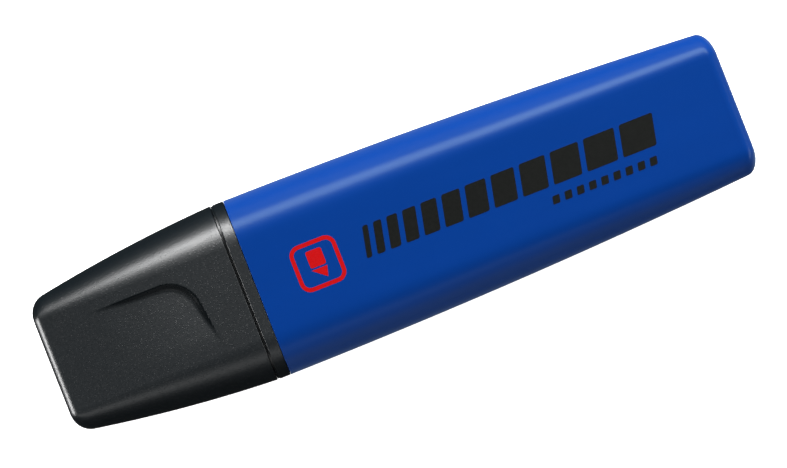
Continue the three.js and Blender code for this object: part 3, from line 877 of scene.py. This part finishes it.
def print_on_face(mesh, form, sizes):
    """Lays flat marks on the barrel's upper broad face as a thin layer of ink."""
    places = [vertex.co.x for vertex in mesh.verts]
    for x in steps(min(places), max(places), MM)[1:-1]:
        cut_across(mesh, x)
    layer = bmesh.ops.extrude_face_region(mesh, geom=mesh.faces[:])
    upper = [item for item in layer["geom"] if isinstance(item, bmesh.types.BMVert)]
    bmesh.ops.translate(mesh, vec=(0, 0, sizes.ink), verts=upper)
    for vertex in mesh.verts:
        vertex.co.z += AXIS_HEIGHT + outer_section(form, vertex.co.x).thickness - sizes.ink / 4
    bmesh.ops.recalc_face_normals(mesh, faces=mesh.faces)
    return mesh


def add_bar(mesh, left, right, low, high, lean, corner):
    """A slanting bar with rounded corners, flat at height 0."""
    made = bmesh.ops.create_grid(mesh, x_segments=1, y_segments=1, size=0.5)["verts"]
    for vertex in made:
        x = left + (right - left) * (vertex.co.x + 0.5)
        y = low + (high - low) * (vertex.co.y + 0.5)
        vertex.co = Vector((x + lean * (y - low), y, 0))
    bmesh.ops.bevel(
        mesh,
        geom=made,
        offset=corner,
        segments=4,
        profile=0.5,
        material=-1,
        affect="VERTICES",
    )


def bars_mesh(form, sizes):
    """A row of slanting bars from a thin line to a broad one, with a row of dashes under its
    broad end."""
    mesh = bmesh.new()
    start = BARREL_MOUTH + sizes.bars_place
    room = sizes.bars_length - sizes.bar_gap * (sizes.bars - 1)
    thinnest, off_centre, corner = 2.2, 0.4 * MM, 0.3 * MM
    unit = room / (sizes.bars * (sizes.bars - 1) / 2 + sizes.bars * thinnest)
    low = -sizes.bars_height / 2 + off_centre
    left = start
    for place in range(sizes.bars):
        right = left + unit * (place + thinnest)
        add_bar(mesh, left, right, low, low + sizes.bars_height, BAR_LEAN, corner)
        left = right + sizes.bar_gap
    dashes, dash, dash_corner = 9, 1.1 * MM, 0.18 * MM
    first_dash, dash_pitch = start + sizes.bars_length * 0.62, dash * 1.7
    dash_low, dash_high = low - 2.6 * MM, low - 1.4 * MM
    for place in range(dashes):
        x = first_dash + place * dash_pitch
        add_bar(mesh, x, x + dash, dash_low, dash_high, BAR_LEAN, dash_corner)
    return print_on_face(mesh, form, sizes)


def badge_mesh(form, sizes):
    """A rounded square frame with a small chisel nib inside it."""
    mesh = bmesh.new()
    centre = Vector((BARREL_MOUTH + sizes.badge_place, 0, 0))
    half = sizes.badge / 2
    corner, body, nib_corner = half * 0.45, half * 0.34, 0.3 * MM
    body_low, body_high = -half * 0.1, half * 0.62
    tip_high, tip_low, tip_slant, tip_share = -half * 0.18, -half * 0.46, half * 0.34, 0.62
    bmesh.ops.create_grid(mesh, x_segments=1, y_segments=1, size=half)
    bmesh.ops.bevel(
        mesh,
        geom=mesh.verts[:],
        offset=corner,
        segments=8,
        profile=0.5,
        material=-1,
        affect="VERTICES",
    )
    frame_face = mesh.faces[:]
    bmesh.ops.inset_region(
        mesh,
        faces=frame_face,
        thickness=sizes.stroke,
        use_boundary=True,
        use_even_offset=True,
    )
    bmesh.ops.delete(mesh, geom=frame_face, context="FACES")
    add_bar(mesh, -body, body, body_low, body_high, 0.0, nib_corner)
    tip = bmesh.ops.create_grid(mesh, x_segments=1, y_segments=1, size=0.5)["verts"]
    for vertex in tip:
        across = vertex.co.x * 2 * body
        if vertex.co.y > 0:
            vertex.co = Vector((across, tip_high, 0))
        else:
            slanted = tip_low - vertex.co.x * tip_slant
            vertex.co = Vector((across * tip_share, slanted, 0))
    bmesh.ops.translate(mesh, vec=centre, verts=mesh.verts)
    return print_on_face(mesh, form, sizes)


# ---- Operators -------------------------------------------------------------------------------


class BuildBarrel(bpy.types.Operator):
    """Make the blue barrel, closed at its tail"""

    bl_idname = "highlighter.build_barrel"
    bl_label = "Barrel"

    def execute(self, context):
        scene = context.scene
        mesh = barrel_mesh(scene.highlighter_form, scene.highlighter_holder)
        material = barrel_finish(scene.highlighter_finishes)
        keep(mesh, "barrel_moulding", "body", "barrel", material)
        return {"FINISHED"}


class BuildHolder(bpy.types.Operator):
    """Make the black nib holder with its collar, neck, snout and plug"""

    bl_idname = "highlighter.build_holder"
    bl_label = "Nib holder"

    def execute(self, context):
        scene = context.scene
        mesh = holder_mesh(scene.highlighter_form, scene.highlighter_holder)
        tone = tuple(scene.highlighter_finishes.cap)
        material = grained_finish("holder_black_plastic", tone)
        keep(mesh, "holder_moulding", "body", "nib_holder", material)
        return {"FINISHED"}


class BuildNib(bpy.types.Operator):
    """Make the chisel nib of pressed fibre"""

    bl_idname = "highlighter.build_nib"
    bl_label = "Nib"

    def execute(self, context):
        scene = context.scene
        material = felt_finish("nib_felt", tuple(scene.highlighter_finishes.felt))
        keep(nib_mesh(scene.highlighter_nib), "chisel_nib", "body", "nib", material)
        return {"FINISHED"}


class FinishReservoir(bpy.types.Operator):
    """Give the reservoir's fibre and film their finishes"""

    bl_idname = "highlighter.finish_reservoir"
    bl_label = "Reservoir"

    def execute(self, context):
        finishes = context.scene.highlighter_finishes
        for node, material in (
            ("reservoir_core", felt_finish("reservoir_fibre", tuple(finishes.core))),
            ("reservoir_film", film_finish(finishes)),
        ):
            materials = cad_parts[node].data.materials
            materials.clear()
            materials.append(material)
        return {"FINISHED"}


class BuildCap(bpy.types.Operator):
    """Make the black cap with its thumb recesses"""

    bl_idname = "highlighter.build_cap"
    bl_label = "Cap"

    def execute(self, context):
        scene = context.scene
        mesh = cap_mesh(
            scene.highlighter_form, scene.highlighter_recess, scene.highlighter_holder
        )
        tone = tuple(scene.highlighter_finishes.cap)
        material = grained_finish("cap_black_plastic", tone)
        keep(mesh, "cap_moulding", "cap", "cap_shell", material)
        return {"FINISHED"}


class BuildSleeve(bpy.types.Operator):
    """Make the sealing sleeve inside the cap"""

    bl_idname = "highlighter.build_sleeve"
    bl_label = "Sealing sleeve"

    def execute(self, context):
        scene = context.scene
        mesh = sleeve_mesh(scene.highlighter_form, scene.highlighter_holder)
        tone = tuple(scene.highlighter_finishes.sleeve)
        material = grained_finish("sleeve_grey_plastic", tone, roughness=0.38, grain=0.000006)
        keep(mesh, "sealing_sleeve", "cap", "cap_inner_sleeve", material)
        return {"FINISHED"}


class BuildPrinting(bpy.types.Operator):
    """Print the generic badge and bars on the barrel"""

    bl_idname = "highlighter.build_printing"
    bl_label = "Printing"

    def execute(self, context):
        scene = context.scene
        form, sizes = scene.highlighter_form, scene.highlighter_print
        finishes = scene.highlighter_finishes
        black = ink_finish("black_print_ink", tuple(finishes.black_ink))
        red = ink_finish("red_print_ink", tuple(finishes.red_ink))
        keep(bars_mesh(form, sizes), "printed_bars", "body", None, black)
        keep(badge_mesh(form, sizes), "printed_badge", "body", None, red)
        return {"FINISHED"}


# Elevation in degrees, size in metres. One that isn't mirrored doesn't show in the gloss.
Softbox = namedtuple("Softbox", "name toward elevation size radiance mirrored")
LIGHT_DISTANCE = 0.8
AIR_LIGHT = 0.02  # what the surroundings give to everything but the camera, which sees white
FLOOR_SIZE = 3.0
FLOOR_GAP = 0.00002
CLIP_START = 0.01


def add_softbox(box, target):
    """A rectangular light that faces a target from LIGHT_DISTANCE away."""
    rise = math.radians(box.elevation)
    aside = box.toward * math.cos(rise) + Vector((0, 0, math.sin(rise)))
    place = target + aside * LIGHT_DISTANCE
    light = bpy.data.lights.new(box.name, "AREA")
    light.shape = "RECTANGLE"
    light.size, light.size_y = box.size
    light.energy = box.radiance * math.pi * light.size * light.size_y
    lamp = bpy.data.objects.new(box.name, light)
    lamp.location = place
    lamp.rotation_euler = (target - place).to_track_quat("-Z", "Y").to_euler()
    lamp.visible_camera = False
    lamp.visible_glossy = box.mirrored
    bpy.context.scene.collection.objects.link(lamp)


def add_floor(scene):
    """A white sheet that glows evenly, so that no shadow shows on it. It neither lights the
    marker from below nor shows in its gloss."""
    mesh = bmesh.new()
    bmesh.ops.create_grid(mesh, x_segments=1, y_segments=1, size=FLOOR_SIZE)
    data = bpy.data.meshes.new("floor")
    mesh.to_mesh(data)
    mesh.free()
    floor = bpy.data.objects.new("floor", data)
    floor.location.z = CAD_LOW.z - FLOOR_GAP
    paper = Finish("pale_floor")
    paper.set(Roughness=0.9, Base_Color=(0.86, 0.86, 0.86, 1.0), Specular_IOR_Level=0.0)
    paper.set(Emission_Color=(1.0, 1.0, 1.0, 1.0), Emission_Strength=1.0)
    data.materials.append(paper.material)
    floor.visible_glossy = False
    floor.visible_diffuse = False
    scene.collection.objects.link(floor)


def set_air(scene):
    """Surroundings that the camera sees as white and that light the marker only faintly."""
    world = bpy.data.worlds.new("studio_air")
    world.use_nodes = True
    tree = world.node_tree
    background = tree.nodes["Background"]
    background.inputs["Color"].default_value = (1, 1, 1, 1)
    paths = tree.nodes.new("ShaderNodeLightPath")
    seen = tree.nodes.new("ShaderNodeMath")
    seen.operation = "MULTIPLY_ADD"
    seen.inputs[1].default_value = 1 - AIR_LIGHT
    seen.inputs[2].default_value = AIR_LIGHT
    tree.links.new(paths.outputs["Is Camera Ray"], seen.inputs[0])
    tree.links.new(seen.outputs["Value"], background.inputs["Strength"])
    scene.world = world
    scene.view_settings.view_transform = "Standard"


def add_camera(scene, studio, axes, middle):
    """A camera far above the marker that looks straight down on its broad face."""
    camera = bpy.data.objects.new("camera", bpy.data.cameras.new("camera"))
    camera.data.sensor_width = 36.0
    camera.data.lens = camera.data.sensor_width * studio.distance / studio.field
    camera.data.clip_start = CLIP_START
    place = Matrix.Translation(middle + Vector((0, 0, studio.distance)))
    camera.matrix_world = place @ axes.to_4x4()
    scene.collection.objects.link(camera)
    scene.camera = camera


class SetStage(bpy.types.Operator):
    """Set the pale floor, the soft lights and the camera over the marker"""

    bl_idname = "highlighter.set_stage"
    bl_label = "Stage"

    def execute(self, context):
        scene = context.scene
        studio = scene.highlighter_studio
        add_floor(scene)
        up = Vector((math.sin(studio.turn), math.cos(studio.turn), 0))
        right = Vector((math.cos(studio.turn), -math.sin(studio.turn), 0))
        middle = Vector((0, 0, AXIS_HEIGHT))
        cap_side = Vector((-1, 0, 0))
        for box in (
            Softbox("key_softbox", up, 46.5, (0.8, 0.3), 21.0, True),
            Softbox("low_card", up, 10, (1.6, 0.36), 15.0, False),
            Softbox("low_fill", -up, 43, (0.9, 0.25), 1.3, True),
            Softbox("under_fill", -up, 1, (1.6, 0.3), 4.8, False),
            Softbox("cap_end_strip", cap_side, 13, (0.3, 0.36), 19.5, True),
            Softbox("tail_end_strip", right, 14, (0.5, 0.25), 7.0, True),
        ):
            add_softbox(box, middle)
        set_air(scene)
        add_camera(scene, studio, Matrix((right, up, Vector((0, 0, 1)))).transposed(), middle)
        return {"FINISHED"}


class HighlighterPanel(bpy.types.Panel):
    """Lists the marker's pieces, in the order they are made"""

    bl_idname = "VIEW3D_PT_highlighter"
    bl_label = "Highlighter"
    bl_space_type = "VIEW_3D"
    bl_region_type = "UI"
    bl_category = "Highlighter"

    def draw(self, context):
        for group in GROUPS:
            settings = getattr(context.scene, GROUPS[group])
            box = self.layout.box()
            box.label(text=group.__doc__)
            for name in group.__annotations__:
                box.prop(settings, name)
        for operator in OPERATORS:
            self.layout.operator(operator.bl_idname)


GROUPS = {
    HighlighterForm: "highlighter_form",
    ThumbRecess: "highlighter_recess",
    HolderSizes: "highlighter_holder",
    NibSizes: "highlighter_nib",
    PrintSizes: "highlighter_print",
    Finishes: "highlighter_finishes",
    Studio: "highlighter_studio",
}

OPERATORS = (
    BuildBarrel,
    BuildHolder,
    BuildNib,
    FinishReservoir,
    BuildCap,
    BuildSleeve,
    BuildPrinting,
    SetStage,
)


def register():
    for group, name in GROUPS.items():
        bpy.utils.register_class(group)
        setattr(bpy.types.Scene, name, PointerProperty(type=group))
    for operator in OPERATORS:
        bpy.utils.register_class(operator)
    bpy.utils.register_class(HighlighterPanel)


def unregister():
    bpy.utils.unregister_class(HighlighterPanel)
    for operator in reversed(OPERATORS):
        bpy.utils.unregister_class(operator)
    for group, name in GROUPS.items():
        delattr(bpy.types.Scene, name)
        bpy.utils.unregister_class(group)


def main():
    register()
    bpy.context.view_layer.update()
    bpy.ops.highlighter.build_barrel()
    bpy.ops.highlighter.build_holder()
    bpy.ops.highlighter.build_nib()
    bpy.ops.highlighter.finish_reservoir()
    bpy.ops.highlighter.build_cap()
    bpy.ops.highlighter.build_sleeve()
    bpy.ops.highlighter.build_printing()
    bpy.ops.highlighter.set_stage()


if __name__ == "__main__":
    main()
